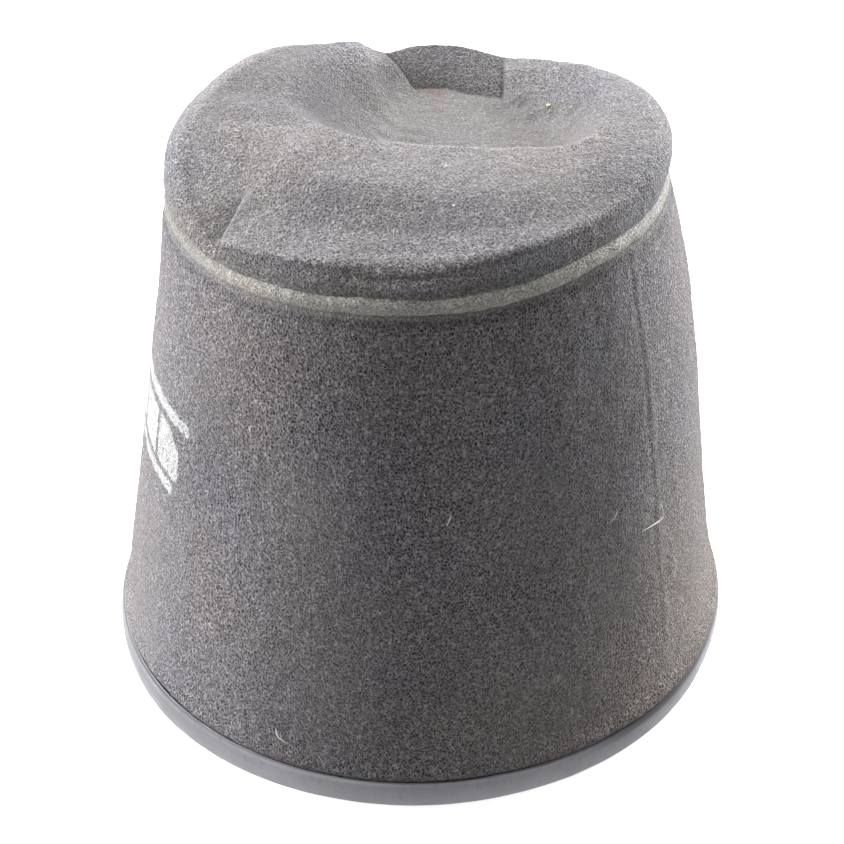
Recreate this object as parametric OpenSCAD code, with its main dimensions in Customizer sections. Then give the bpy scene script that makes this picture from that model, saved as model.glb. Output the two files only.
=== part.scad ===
// Conical two-stage foam air filter: a moulded rubber base, two nested foam sleeves on a
// welded wire cage, and two foam discs that close the top and have caved in.
// It stands on its base at z = 0, with the axis along +Z. The side seam faces the -Y +X side.

/* [Base ring] */
// Outside diameter of the moulded base
base_d = 160; // [156:1:166]
// Height of the outer lip that holds the foot of the foam
lip_h = 6.8; // [5.8:0.1:8]
// Thickness of the outer lip
lip_t = 1.2; // [0.8:0.1:1.6]
// Thickness of the base's floor
floor_t = 3; // [2.6:0.1:3.6]
// Diameter of the outlet bore
bore_d = 100; // [92:1:102]
// Wall of the collar around the bore
collar_t = 3.2; // [2.4:0.1:3.6]
// Height of the collar above the seat
collar_h = 12; // [9:0.5:15]

/* [Foam] */
// Height of the filter from its seat to the top of the foam
filter_h = 144; // [136:1:156]
// Outside diameter of the foam at the top joint
top_d = 119.6; // [116:0.2:124]
// Thickness of the outer, coarse foam
outer_t = 12; // [11:0.5:12.5]
// Thickness of the inner, fine foam
inner_t = 8; // [7:0.5:8.5]
// Half height of the bead that fills the top joint
bead_h = 2.1; // [1.5:0.1:2.6]
// Thickness of a bonded seam
seam_t = 0.8; // [0.4:0.1:1.2]
// Direction of the outer sleeve's seam, from +X
outer_seam_angle = -38.5; // [-180:0.5:180]
// Direction of the inner sleeve's seam, from +X
inner_seam_angle = 141.5; // [-180:0.5:180]

/* [Caved-in top] */
// Diameter over which the top surface has sunk
dent_d = 84; // [76:1:90]
// Depth of the sunken middle
dent_depth = 12; // [0:0.5:15]
// Radius of the rounded top edge
edge_r = 3; // [1:0.5:5]

/* [Wire cage] */
// Diameter of the cage wire
wire_d = 2; // [1.6:0.1:2.2]
// Number of uprights around the cage
upright_count = 18; // [12:1:24]
// Number of hoops between the foot and the mouth
hoop_count = 7; // [5:1:9]

/* [Hidden] */
$fn = 96;

base_r = base_d / 2;
bore_r = bore_d / 2;
lip_r = base_r - lip_t;               // inside of the lip, where the foam's foot stands
lip_bulge = 0.8;                      // how far the base's side swells at half height
lip_round_r = (pow(lip_h / 2, 2) + pow(lip_bulge, 2)) / (2 * lip_bulge);
chamfer = 0.8;                        // lead-in at the lower end of the bore
seat_r = 60;                          // inner edge of the seat's flat face
seat_relief = 1;                      // the floor inside seat_r stands this far off the seat
groove_w = 1.2;
groove_depth = 0.8;
groove_radii = [66, 71];              // two grooves leave three sealing lands

bond_t = 0.8;                         // adhesive under the foam's foot
foot_z = floor_t + bond_t;            // where the foam and the cage's foot start
joint_z = filter_h - outer_t;         // top of the outer sleeve
film_t = 0.4;                         // adhesive in the top joints
inner_joint_z = joint_z - inner_t;    // top of the inner sleeve
slope = (lip_r - top_d / 2) / (joint_z - lip_h);
sink_r = dent_d / 2;                  // where the top surface starts to sink
under_r = sink_r - 6;                 // where the underside starts to sink
dent_steps = 10;

wire_r = wire_d / 2;
wire_gap = 0.15;                      // from the uprights to the inner sleeve
weld_share = 0.9;                     // crossing wires' centres are this many diameters apart
mouth_z = inner_joint_z - wire_d;
hoop_foot_z = foot_z + wire_r;
hoop_pitch = (mouth_z - hoop_foot_z) / (hoop_count + 1);
lean = atan(slope);                   // the uprights' tilt from vertical
reach = 2 * filter_h;                 // longer than anything it cuts

// Radius at height z of the cone that lies this deep below the foam's outer face
function cone_r(z, depth) = lip_r + (lip_h - z) * slope - depth;
function upright_r(z) = cone_r(z, outer_t + inner_t + wire_gap + wire_r);
function hoop_r(z) = upright_r(z) - weld_share * wire_d;
function hoop_name(i) = str("cage_hoop_", i);

// How far a surface has sunk at radius r, when it starts to sink at radius rim
function sink(r, rim) = r >= rim ? 0 : dent_depth * (1 - cos(180 * (1 - r / rim))) / 2;
function sunken_line(z, rim) =
    [for (i = [0 : dent_steps]) let (r = rim * i / dent_steps) [r, z - sink(r, rim)]];
function reversed(points) = [for (i = [len(points) - 1 : -1 : 0]) points[i]];

module foam_outer() { color([0.29, 0.28, 0.29]) children(); }
module foam_inner() { color([0.42, 0.41, 0.40]) children(); }
module adhesive() { color([0.80, 0.78, 0.72]) children(); }
module steel() { color([0.72, 0.73, 0.74]) children(); }

module ring(r_in, r_out, z_low, z_high) {
    translate([r_in, z_low]) square([r_out - r_in, z_high - z_low]);
}

// A thin slab from the axis outwards, where a sleeve's two ends meet
module seam_slab(angle) {
    rotate(angle) translate([0, -seam_t / 2, 0]) cube([reach, seam_t, reach]);
}

module hoop(z) {
    rotate_extrude() translate([hoop_r(z), z]) circle(wire_r, $fn = 24);
}

// ---- Moulded base ----

module base_outline() {
    collar_r = bore_r + collar_t;
    difference() {
        union() {
            ring(bore_r, lip_r, 0, floor_t);
            // The collar ends in a round top edge
            ring(bore_r, collar_r, 0, collar_h - collar_t / 2);
            translate([bore_r + collar_t / 2, collar_h - collar_t / 2]) circle(collar_t / 2);
            intersection() {
                ring(lip_r, base_r, 0, lip_h);
                translate([base_r - lip_round_r, lip_h / 2]) circle(lip_round_r);
            }
        }
        ring(0, seat_r, -1, seat_relief);
        for (r = groove_radii) ring(r, r + groove_w, -1, groove_depth);
        polygon([[bore_r - 1, seat_relief], [bore_r + chamfer, seat_relief],
                 [bore_r, seat_relief + chamfer], [bore_r - 1, seat_relief + chamfer]]);
    }
}

module base_ring() {
    color([0.43, 0.43, 0.45]) rotate_extrude() base_outline();
}

module foot_bond_bead() {
    adhesive() difference() {
        rotate_extrude() union() {
            ring(bore_r + collar_t, lip_r, floor_t, foot_z);
            ring(bore_r + collar_t, cone_r(lip_h, outer_t + inner_t), foot_z, lip_h);
        }
        hoop(hoop_foot_z);
        uprights();
    }
}

// ---- Wire cage ----

module uprights() {
    for (i = [0 : upright_count - 1])
        rotate((i + 0.5) * 360 / upright_count)
            translate([upright_r(foot_z), 0, foot_z])
                rotate([0, -lean, 0])
                    cylinder(h = (mouth_z - foot_z) / cos(lean), r = wire_r, $fn = 24);
}

module cage_uprights() { steel() uprights(); }
module cage_foot_hoop() { steel() hoop(hoop_foot_z); }
module cage_hoop(i) { steel() hoop(hoop_foot_z + i * hoop_pitch); }
module cage_mouth_hoop() { steel() hoop(mouth_z); }

// ---- Foam sleeves ----

module outer_sleeve_solid() {
    rotate_extrude() polygon([
        [cone_r(foot_z, outer_t), foot_z],
        [lip_r, foot_z],
        [lip_r, lip_h],
        [cone_r(joint_z - bead_h, 0), joint_z - bead_h],
        [top_d / 2 - bead_h, joint_z],
        [cone_r(joint_z, outer_t), joint_z]]);
}

// Below lip_h the inner face is straight, because the bond in the base holds it
module inner_sleeve_solid() {
    top_z = inner_joint_z - film_t;
    rotate_extrude() polygon([
        [cone_r(lip_h, outer_t + inner_t), lip_h],
        [cone_r(lip_h, outer_t + inner_t), foot_z],
        [cone_r(foot_z, outer_t), foot_z],
        [cone_r(top_z, outer_t), top_z],
        [cone_r(top_z, outer_t + inner_t), top_z]]);
}

module outer_foam_sleeve() {
    foam_outer() difference() {
        outer_sleeve_solid();
        seam_slab(outer_seam_angle);
    }
}

module outer_sleeve_seam() {
    adhesive() intersection() {
        outer_sleeve_solid();
        seam_slab(outer_seam_angle);
    }
}

module inner_foam_sleeve() {
    foam_inner() difference() {
        inner_sleeve_solid();
        seam_slab(inner_seam_angle);
    }
}

module inner_sleeve_seam() {
    adhesive() intersection() {
        inner_sleeve_solid();
        seam_slab(inner_seam_angle);
    }
}

// ---- Closed top ----

module inner_top_bond() {
    adhesive() rotate_extrude()
        ring(cone_r(inner_joint_z, outer_t + inner_t), cone_r(inner_joint_z, outer_t),
             inner_joint_z - film_t, inner_joint_z);
}

module inner_foam_disc() {
    disc_r = cone_r(joint_z, outer_t);
    foam_inner() rotate_extrude() polygon(concat(
        sunken_line(inner_joint_z, under_r),
        [[disc_r, inner_joint_z], [disc_r, joint_z]],
        reversed(sunken_line(joint_z, under_r))));
}

// The film across the joint widens into a bead that shows outside
module outer_top_bead() {
    low_z = joint_z - bead_h;
    high_z = joint_z + film_t + bead_h;
    adhesive() rotate_extrude() polygon([
        [cone_r(joint_z, outer_t), joint_z],
        [top_d / 2 - bead_h, joint_z],
        [cone_r(low_z, 0), low_z],
        [top_d / 2, high_z],
        [top_d / 2 - bead_h, joint_z + film_t],
        [cone_r(joint_z, outer_t), joint_z + film_t]]);
}

module outer_foam_disc() {
    low_z = joint_z + film_t;
    side_r = top_d / 2;
    foam_outer() rotate_extrude() {
        polygon(concat(
            sunken_line(low_z, under_r),
            [[side_r - bead_h, low_z], [side_r, low_z + bead_h],
             [side_r, filter_h - edge_r], [side_r - edge_r, filter_h - edge_r],
             [side_r - edge_r, filter_h]],
            reversed(sunken_line(filter_h, sink_r))));
        translate([side_r - edge_r, filter_h - edge_r]) circle(edge_r);
    }
}

base_ring();
foot_bond_bead();
cage_foot_hoop();
for (i = [1 : hoop_count]) cage_hoop(i);
cage_mouth_hoop();
cage_uprights();
inner_foam_sleeve();
inner_sleeve_seam();
outer_foam_sleeve();
outer_sleeve_seam();
inner_top_bond();
inner_foam_disc();
outer_top_bead();
outer_foam_disc();
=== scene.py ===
"""Looks of the tapered foam air filter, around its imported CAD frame.

The foam, its top joint, the moulded base and the small signs of use are meshes made here, in
the CAD's frame. The wire cage and the hidden bonds are the CAD's own nodes.
Azimuths are in degrees from the front (-Y), positive towards the right (+X). Lengths are in
millimetres until mesh_object turns them into metres.
"""

import math

import bpy
import numpy as np
from mathutils import Matrix, Vector


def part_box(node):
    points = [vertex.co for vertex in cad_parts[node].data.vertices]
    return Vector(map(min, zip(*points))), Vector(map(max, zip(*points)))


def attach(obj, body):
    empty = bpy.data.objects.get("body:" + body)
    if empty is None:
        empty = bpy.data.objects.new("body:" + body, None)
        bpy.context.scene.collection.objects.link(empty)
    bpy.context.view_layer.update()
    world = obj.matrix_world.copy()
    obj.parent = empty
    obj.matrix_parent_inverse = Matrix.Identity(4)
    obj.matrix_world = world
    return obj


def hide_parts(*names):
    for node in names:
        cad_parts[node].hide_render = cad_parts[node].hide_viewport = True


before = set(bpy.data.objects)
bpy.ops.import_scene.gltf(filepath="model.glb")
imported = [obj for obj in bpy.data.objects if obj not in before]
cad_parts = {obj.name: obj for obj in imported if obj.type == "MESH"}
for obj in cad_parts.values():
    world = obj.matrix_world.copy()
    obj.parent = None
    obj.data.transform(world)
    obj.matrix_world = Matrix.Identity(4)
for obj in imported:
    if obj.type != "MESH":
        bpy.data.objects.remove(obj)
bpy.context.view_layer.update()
MM = 0.001

# ---- Places that the CAD frame gives, in millimetres ----


def node_box(name):
    low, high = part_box(name)
    return np.array(low) / MM, np.array(high) / MM


sleeve_low, sleeve_high = node_box("outer_foam_sleeve")
inner_low, inner_high = node_box("inner_foam_sleeve")
bead_low, bead_high = node_box("outer_top_bead")
disc_high = node_box("outer_foam_disc")[1]

BASE_R = node_box("base_ring")[1][0]
LIP_H = 6.8  # top of the ring's outer lip. The ring's box ends higher, at its collar
FOOT_R = sleeve_high[0]
FOOT_Z = sleeve_low[2]
JOINT_Z = sleeve_high[2]
TOP_R = disc_high[0]
INNER_TOP_Z = inner_high[2]
BACKING_R = node_box("inner_foam_disc")[1][0]
BEAD_HALF = (bead_high[2] - bead_low[2]) / 2
SLOPE = (FOOT_R - TOP_R) / (JOINT_Z - LIP_H)
OUTER_T = TOP_R - BACKING_R
INNER_T = 8.0


def cone_r(z, depth=0.0):
    return FOOT_R + (LIP_H - z) * SLOPE - depth


# The real filter leans a little, and its top joint is neither level nor quite round
LEAN_X = 2.9
JOINT_HEIGHT = {
    -180: 129, -150: 128.8, -120: 128.4, -90: 128, -78: 128.2, -60: 129, -43: 129.9,
    -27: 131.2, -11: 132.5, 9: 132.5, 27: 133.6, 40: 134.5, 50: 133.9, 61: 132.4, 75: 131.7,
    90: 131.4, 120: 130.6, 150: 129.2,
}
JOINT_INSET = {
    -180: 0, -105: -0.5, -88: -1, -70: -0.3, -55: 0, 25: 0, 45: 0.8, 60: 1.3, 80: 1.3, 100: 0.8,
    150: 0.2,
}

# ---- Helpers for shapes ----


def ease(t):
    """A smooth step from 0 at t = 0 to 1 at t = 1."""
    t = np.clip(t, 0, 1)
    return t * t * (3 - 2 * t)


def lerp(a, b, t):
    return a + (b - a) * t


def fall(x, reach):
    """1 up to x = 0, then dying away over reach."""
    return np.exp(-np.clip(x, 0, None) / reach)


def bump_at(x, centre, width):
    return np.exp(-(((x - centre) / width) ** 2))


def smooth_min(a, b, width):
    h = np.clip(0.5 + 0.5 * (b - a) / width, 0, 1)
    return lerp(b, a, h) - width * h * (1 - h)


def around(table, azimuth, blur=3.0):
    """A value that goes round the axis: table is {azimuth: value}, blurred by that many degrees."""
    grid = np.arange(-180, 180, 0.5)
    keys = sorted(table)
    knots = np.array([k - 360 for k in keys] + keys + [k + 360 for k in keys], float)
    values = np.array([table[k] for k in keys] * 3, float)
    line = np.interp(grid, knots, values)
    if blur:
        lags = np.minimum(np.arange(720), 720 - np.arange(720)) * 0.5
        kernel = np.exp(-0.5 * (lags / blur) ** 2)
        kernel /= kernel.sum()
        line = np.real(np.fft.ifft(np.fft.fft(line) * np.fft.fft(kernel)))
    wrapped = (np.asarray(azimuth, float) + 180) % 360 - 180
    return np.interp(wrapped, np.append(grid, 180.0), np.append(line, line[0]))


def azimuth_of(x, y):
    return np.degrees(np.arctan2(x, -y))


def circle(cols):
    """Azimuths of points all round, with their sines and cosines."""
    turn = np.linspace(-180, 180, cols, endpoint=False)
    return turn, np.sin(np.radians(turn)), np.cos(np.radians(turn))


def turned(r, z, sin, cos, shift=0.0):
    """Points r from the axis, in the directions of sin and cos, at height z."""
    r, z = r + 0 * sin, z + 0 * sin
    return np.stack([r * sin + shift, -r * cos, z], axis=-1)


def lattice(ix, iy, iz, seed):
    """A repeatable random value from 0 to 1 at each point of a whole-number grid."""
    n = ix * 73856093 ^ iy * 19349663 ^ iz * 83492791 ^ seed * 49979687
    n = (n ^ (n >> 13)) * 1274126177 & 0x7FFFFFFF
    n = (n ^ (n >> 11)) * 668265263 & 0x7FFFFFFF
    return ((n ^ (n >> 15)) & 0xFFFF) / 65535.0


def noise(x, y, z, size, seed):
    """Smooth noise from -1 to 1 whose lumps are about size apart."""
    px, py, pz = (np.asarray(c, float) / size + 500.0 for c in np.broadcast_arrays(x, y, z))
    ix, iy, iz = (np.floor(p).astype(np.int64) for p in (px, py, pz))
    fx, fy, fz = (ease(p - i) for p, i in ((px, ix), (py, iy), (pz, iz)))
    total = 0.0
    for dx in (0, 1):
        for dy in (0, 1):
            for dz in (0, 1):
                weight = (
                    (fx if dx else 1 - fx) * (fy if dy else 1 - fy) * (fz if dz else 1 - fz)
                )
                total = total + weight * lattice(ix + dx, iy + dy, iz + dz, seed)
    return 2 * total - 1


def placed(name, data):
    obj = bpy.data.objects.new(name, data)
    bpy.context.scene.collection.objects.link(obj)
    return obj


def mesh_object(name, points, faces, material, values=None):
    """A mesh from points in millimetres. values are named numbers, one per point."""
    mesh = bpy.data.meshes.new(name)
    mesh.from_pydata((np.asarray(points) * MM).tolist(), [], faces)
    mesh.validate()
    for key, data in (values or {}).items():
        layer = mesh.attributes.new(key, "FLOAT", "POINT")
        layer.data.foreach_set("value", np.asarray(data, np.float32).ravel())
    mesh.polygons.foreach_set("use_smooth", [True] * len(mesh.polygons))
    mesh.materials.append(material)
    return placed(name, mesh)


def turned_right(points, faces):
    """faces, turned over if they face inwards."""
    p = np.asarray(points)
    volume = 0.0
    for i in (1, 2):
        part = [f for f in faces if len(f) > i + 1]
        if part:
            a, b, c = (p[[f[k] for f in part]] for k in (0, i, i + 1))
            volume += np.einsum("ij,ij->i", a, np.cross(b, c)).sum()
    return faces if volume > 0 else [tuple(reversed(f)) for f in faces]


def wrapped_grid(rows, cols, close_rows):
    """Quads of a grid whose columns join up, and whose rows join up too if close_rows."""
    faces = []
    for i in range(rows if close_rows else rows - 1):
        k = (i + 1) % rows
        for j in range(cols):
            m = (j + 1) % cols
            faces.append((i * cols + j, i * cols + m, k * cols + m, k * cols + j))
    return faces


def ring_solid(name, grid, material, values=None):
    """A closed ring from grid[row, column, xyz], where rows go round its section."""
    rows, cols = grid.shape[:2]
    points = grid.reshape(-1, 3)
    faces = turned_right(points, wrapped_grid(rows, cols, True))
    return mesh_object(name, points, faces, material, values=values)


def capped_solid(name, grid, first, last, material, values=None):
    """A closed solid from grid[row, column, xyz] and the points that close its two ends."""
    rows, cols = grid.shape[:2]
    points = np.vstack([grid.reshape(-1, 3), [first], [last]])
    faces = wrapped_grid(rows, cols, False)
    a, b, start = rows * cols, rows * cols + 1, (rows - 1) * cols
    for j in range(cols):
        m = (j + 1) % cols
        faces.append((m, j, a))
        faces.append((start + j, start + m, b))
    faces = turned_right(points, faces)
    if values:
        values = {
            k: np.append(np.ravel(v), [np.ravel(v)[0], np.ravel(v)[-1]]) for k, v in values.items()
        }
    return mesh_object(name, points, faces, material, values=values)


# ---- Helpers for materials ----


class Nodes:
    """A short way to write a material's nodes."""

    def __init__(self, name, stretch=(1.0, 1.0, 1.0)):
        self.material = bpy.data.materials.new(name)
        self.material.use_nodes = True
        self.tree = self.material.node_tree
        self.shader = self.tree.nodes["Principled BSDF"]
        self.place = self.add("ShaderNodeTexCoord").outputs["Object"]
        self.where = self.place
        if stretch != (1.0, 1.0, 1.0):
            squeeze = tuple(1 / s for s in stretch)
            self.where = self.vector("MULTIPLY", {0: self.place, 1: squeeze})

    def add(self, kind, inputs=None, **settings):
        node = self.tree.nodes.new(kind)
        for key, value in settings.items():
            setattr(node, key, value)
        for key, value in (inputs or {}).items():
            self.put(node.inputs[key], value)
        return node

    def put(self, socket, value):
        if isinstance(value, bpy.types.NodeSocket):
            self.tree.links.new(value, socket)
        else:
            socket.default_value = value

    def set(self, **inputs):
        for key, value in inputs.items():
            self.put(self.shader.inputs[key.replace("_", " ")], value)

    def math(self, operation, a, b=0.0, clamp=False):
        node = self.add("ShaderNodeMath", {0: a, 1: b}, operation=operation, use_clamp=clamp)
        return node.outputs[0]

    def vector(self, operation, inputs):
        return self.add("ShaderNodeVectorMath", inputs, operation=operation).outputs[0]

    def times(self, a, b, clamp=False):
        return self.math("MULTIPLY", a, b, clamp)

    def cover(self, colour, share, strength, paint):
        """colour, with paint over it where share is not 0."""
        return self.mix(self.times(share, strength), colour, paint)

    def xyz(self):
        """The three object coordinates, in metres."""
        parts = self.add("ShaderNodeSeparateXYZ", {"Vector": self.place})
        return (parts.outputs[k] for k in "XYZ")

    def span(self, value, low, high, out_low=0.0, out_high=1.0, smooth=False):
        node = self.add(
            "ShaderNodeMapRange",
            {"Value": value, "From Min": low, "From Max": high,
             "To Min": out_low, "To Max": out_high},
            interpolation_type="SMOOTHSTEP" if smooth else "LINEAR",
        )
        return node.outputs["Result"]

    def fade(self, value, start_mm, end_mm, least=0.0, most=1.0):
        return self.span(value, start_mm * MM, end_mm * MM, least, most, True)

    def mix(self, share, a, b, blend="MIX"):
        node = self.add("ShaderNodeMix", data_type="RGBA", blend_type=blend)
        self.put(node.inputs[0], share)
        for socket, value in ((node.inputs[6], a), (node.inputs[7], b)):
            if isinstance(value, tuple) and len(value) == 3:
                value = (*value, 1.0)
            self.put(socket, value)
        return node.outputs[2]

    def noise(self, size_mm, detail=2.0, roughness=0.5, where=None, output="Fac"):
        node = self.add(
            "ShaderNodeTexNoise",
            {"Vector": where or self.where, "Scale": 1 / (size_mm * MM), "Detail": detail,
             "Roughness": roughness},
        )
        return node.outputs[output]

    def cells(self, size_mm, feature="DISTANCE_TO_EDGE", where=None):
        place = {"Vector": where or self.where, "Scale": 1 / (size_mm * MM)}
        return self.add("ShaderNodeTexVoronoi", place, feature=feature).outputs["Distance"]

    def warped(self, size_mm, amount_mm):
        """Object coordinates, pushed about by noise."""
        random = self.noise(size_mm, 1.0, output="Color")
        centred = self.vector("SUBTRACT", {0: random, 1: (0.5, 0.5, 0.5)})
        return self.vector(
            "ADD", {0: self.where, 1: self.vector("SCALE", {0: centred, "Scale": amount_mm * MM})})

    def value(self, name):
        return self.add("ShaderNodeAttribute", attribute_name=name).outputs["Fac"]

    def bump(self, height, depth_mm, strength=1.0):
        return self.add(
            "ShaderNodeBump", {"Height": height, "Distance": depth_mm * MM, "Strength": strength}
        ).outputs["Normal"]


def foam_net(n, cell_mm):
    """The open cells of foam, 1 on a strand and 0 deep in a pore, and their coordinates."""
    warped = n.warped(cell_mm * 1.7, cell_mm * 1.1)
    walls = n.span(n.cells(cell_mm, where=warped), 0.02, 0.24, 1.0, 0.0, True)
    swirl = n.noise(cell_mm * 1.15, 1.0, 0.5, warped)
    ridge = n.math("ABSOLUTE", n.math("SUBTRACT", swirl, 0.5))
    curls = n.span(ridge, 0.0, 0.085, 1.0, 0.0, True)
    net = n.math("ADD", n.times(walls, 0.5), n.times(curls, 0.5))
    broken = n.span(n.noise(cell_mm * 0.9, 1.0), 0.34, 0.60, 0.45, 1.2)
    return n.times(net, broken, clamp=True), warped


def foam_colour(n, net, warped, pore, strand, cell_mm):
    """Pores and strands, with strands that differ, soft blotches and a slow change of tint."""
    uneven = n.noise(cell_mm * 2.0, 3.0, 0.7, warped)
    lit = n.times(net, n.span(uneven, 0.3, 0.7, 0.75, 1.1), clamp=True)
    colour = n.mix(lit, pore, strand)
    blotch = n.span(n.noise(34, 3.0, 0.6), 0.3, 0.7, 0.92, 1.07)
    tinted = n.mix(n.span(n.noise(24, 3.0), 0.35, 0.65), (0.98, 1.0, 1.05), (1.04, 1.0, 0.95))
    colour = n.mix(1.0, colour, tinted, "MULTIPLY")
    return n.vector("SCALE", {0: colour, "Scale": blotch})


# ---- Materials ----

TOP_PORE, TOP_STRAND = (0.070, 0.067, 0.070), (0.44, 0.417, 0.437)
SIDE_PORE, SIDE_STRAND = (0.020, 0.0188, 0.020), (0.545, 0.503, 0.537)
FOAM_CELL, FINE_CELL = 0.70, 0.9
WARM = (1.05, 1.0, 0.88)  # what dust does to the colour, low at the right of the side


def outer_foam_material(name, pore, strand, stretch, printed=False):
    n = Nodes(name, stretch)
    net, warped = foam_net(n, FOAM_CELL)
    colour = foam_colour(n, net, warped, pore, strand, FOAM_CELL)
    # Pale where rubbed and as painted highlight, greyer with dust, and darkened with painted shade
    colour = n.cover(colour, n.value("pale_wear_and_highlight"), 0.55, (0.42, 0.41, 0.40))
    colour = n.cover(colour, n.value("dusty"), 0.50, (0.315, 0.300, 0.286))
    colour = n.cover(colour, n.value("painted_shade"), 0.75, (0.012, 0.012, 0.014))
    rust = n.times(n.value("rust"), n.span(n.noise(2.5, 3.0, 0.7), 0.3, 0.6))
    colour = n.cover(colour, rust, 0.75, (0.27, 0.13, 0.085))
    if printed:
        x, _, z = n.xyz()
        colour = n.mix(n.times(n.fade(x, 5, 58), n.fade(z, 95, 25)), colour, WARM, "MULTIPLY")
        ink = print_mask(n)
        patchy = n.span(n.noise(1.8, 3.0, 0.7), 0.30, 0.50, 0.35, 1.0)
        covered = n.times(ink, n.span(net, -0.10, 0.22), clamp=True)
        colour = n.mix(n.times(covered, patchy), colour, (0.72, 0.73, 0.73))
    fuzz = n.noise(0.5, 2.0, 0.6)
    height = n.math("ADD", net, n.times(fuzz, 0.25))
    n.set(Base_Color=colour, Roughness=0.92, Normal=n.bump(height, 0.5, 0.9))
    n.set(Sheen_Weight=0.36, Sheen_Roughness=0.45, Sheen_Tint=(0.9, 0.9, 0.92, 1.0))
    n.set(Specular_IOR_Level=0.15)
    return n.material


def print_mask(n):
    """White bars round the left of the side: two stripes, with slanted blocks between them."""
    x, y, z = n.xyz()
    turn = n.times(n.math("ARCTAN2", x, n.times(y, -1.0)), 180 / math.pi)
    ragged = n.times(n.math("SUBTRACT", n.noise(1.2, 2.0), 0.5), 2.6 * MM)
    z = n.math("ADD", z, ragged)

    def between(value, low, high, edge):
        up = n.span(value, low - edge, low + edge)
        down = n.span(value, high - edge, high + edge, 1.0, 0.0)
        return n.times(up, down)

    def bar(low, high, end):
        return n.times(between(z, low * MM, high * MM, 0.4 * MM), between(turn, -134, end, 0.5))

    stripes = n.math("MAXIMUM", bar(82.0, 85.2, -55.3), bar(62.6, 65.4, -60.5))
    above = n.math("MAXIMUM", n.math("SUBTRACT", z, 75 * MM), 0.0)
    slant = n.math("ADD", turn, n.times(above, 1000.0))
    # The blocks repeat every 12 degrees
    wave = n.math("FRACT", n.times(n.math("ADD", turn, 178.5), 1 / 12.0))
    blocks = n.times(between(z, 67 * MM, 80 * MM, 0.4 * MM), between(wave, 0.10, 1.1, 0.03))
    ends = n.times(between(turn, -130.5, -50, 0.5), between(slant, -200, -58.5, 0.5))
    return n.math("MAXIMUM", stripes, n.times(blocks, ends))


def inner_foam_material():
    n = Nodes("inner_foam_fine")
    net, warped = foam_net(n, FINE_CELL)
    colour = foam_colour(n, net, warped, (0.05, 0.05, 0.048), (0.36, 0.35, 0.33), FINE_CELL)
    n.set(Base_Color=colour, Roughness=0.93, Normal=n.bump(net, 0.3, 0.7))
    n.set(Sheen_Weight=0.25, Sheen_Roughness=0.5)
    n.set(Specular_IOR_Level=0.15)
    return n.material


def bead_material():
    """Glue that has soaked into foam: pale cream, with the foam's cells still showing."""
    n = Nodes("glue_soaked_foam")
    net, warped = foam_net(n, FOAM_CELL)
    colour = foam_colour(n, net, warped, (0.135, 0.128, 0.116), (0.71, 0.68, 0.62), FOAM_CELL)
    patches = n.span(n.noise(9, 3.0, 0.6), 0.4, 0.62)
    colour = n.cover(colour, patches, 0.25, (0.45, 0.43, 0.395))
    # Darkened with painted shade
    colour = n.cover(colour, n.value("painted_shade"), 0.8, (0.03, 0.03, 0.03))
    lumps = n.math("ADD", net, n.times(n.noise(3.5, 2.0), 0.8))
    n.set(Base_Color=colour, Roughness=0.7, Normal=n.bump(lumps, 0.35, 0.7))
    return n.material


def glue_material():
    n = Nodes("glue_set")
    colour = n.mix(n.span(n.noise(6, 4.0, 0.6), 0.35, 0.65), (0.50, 0.46, 0.37), (0.66, 0.62, 0.54))
    dust = n.span(n.noise(0.8, 3.0, 0.7), 0.45, 0.7)
    colour = n.cover(colour, dust, 0.25, (0.28, 0.26, 0.23))
    rough = n.span(n.noise(2.5, 3.0), 0.3, 0.7, 0.35, 0.6)
    height = n.math("ADD", n.noise(3.0, 3.0), n.times(n.noise(0.6, 2.0), 0.2))
    n.set(Base_Color=colour, Roughness=rough, Normal=n.bump(height, 0.4, 0.6))
    return n.material


def rubber_material():
    n = Nodes("moulded_grey_rubber")
    grey, bloom = (0.435, 0.435, 0.475), (0.54, 0.54, 0.58)
    clouds = n.span(n.noise(14, 4.0, 0.65), 0.35, 0.68)
    colour = n.cover(grey, clouds, 0.55, bloom)
    darkening = n.span(n.noise(1.6, 5.0, 0.75), 0.52, 0.74)
    colour = n.cover(colour, darkening, 0.35, (0.085, 0.082, 0.08))
    specks = n.span(n.cells(3.4, "F1"), 0.0, 0.12, 1.0, 0.0)
    rare = n.span(n.noise(5.0, 0.0), 0.58, 0.62)
    colour = n.cover(colour, n.times(specks, rare), 0.7, (0.52, 0.51, 0.50))
    rough = n.span(n.noise(5, 4.0, 0.6), 0.3, 0.7, 0.40, 0.62)
    height = n.math("ADD", n.times(n.noise(0.35, 3.0, 0.6), 0.25), n.noise(7, 2.0))
    x, _, z = n.xyz()
    # Paler near the floor as painted light from the floor, painted shade at the left and right, and a
    # painted shadow along the top where the foam meets it, deepest under the foam at the right
    colour = n.mix(n.fade(z, 4.8, 1.4, 0.0, 0.45), colour, (0.66, 0.66, 0.70))
    sides = n.math("MAXIMUM", n.fade(x, 25, 72, 0.0, 0.44), n.fade(x, -25, -72, 0.0, 0.61))
    colour = n.mix(sides, colour, (0.03, 0.03, 0.034))
    top_band_painted_shadow = n.times(n.fade(z, 3.6, 6.4, 0.0, 0.26), n.fade(x, 30, 62, 1.0, 1.5))
    colour = n.mix(top_band_painted_shadow, colour, (0.045, 0.045, 0.05))
    painted_shadow_under_foam = n.times(n.fade(z, 4.8, 5.9, 0.0, 0.80), n.fade(x, 36, 60))
    colour = n.mix(painted_shadow_under_foam, colour, (0.03, 0.03, 0.04))
    n.set(Base_Color=colour, Roughness=rough, Normal=n.bump(height, 0.18, 0.5))
    n.set(Specular_IOR_Level=0.28)
    return n.material


def mottled_material(name, dark, pale, spots, roughness, grain, depth):
    """Two colours in spots (their noise), with a grain of this size and depth."""
    n = Nodes(name)
    colour = n.mix(n.noise(*spots), dark, pale)
    n.set(Base_Color=colour, Roughness=roughness, Normal=n.bump(n.noise(grain, 2.0), depth, 0.6))
    return n.material


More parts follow.
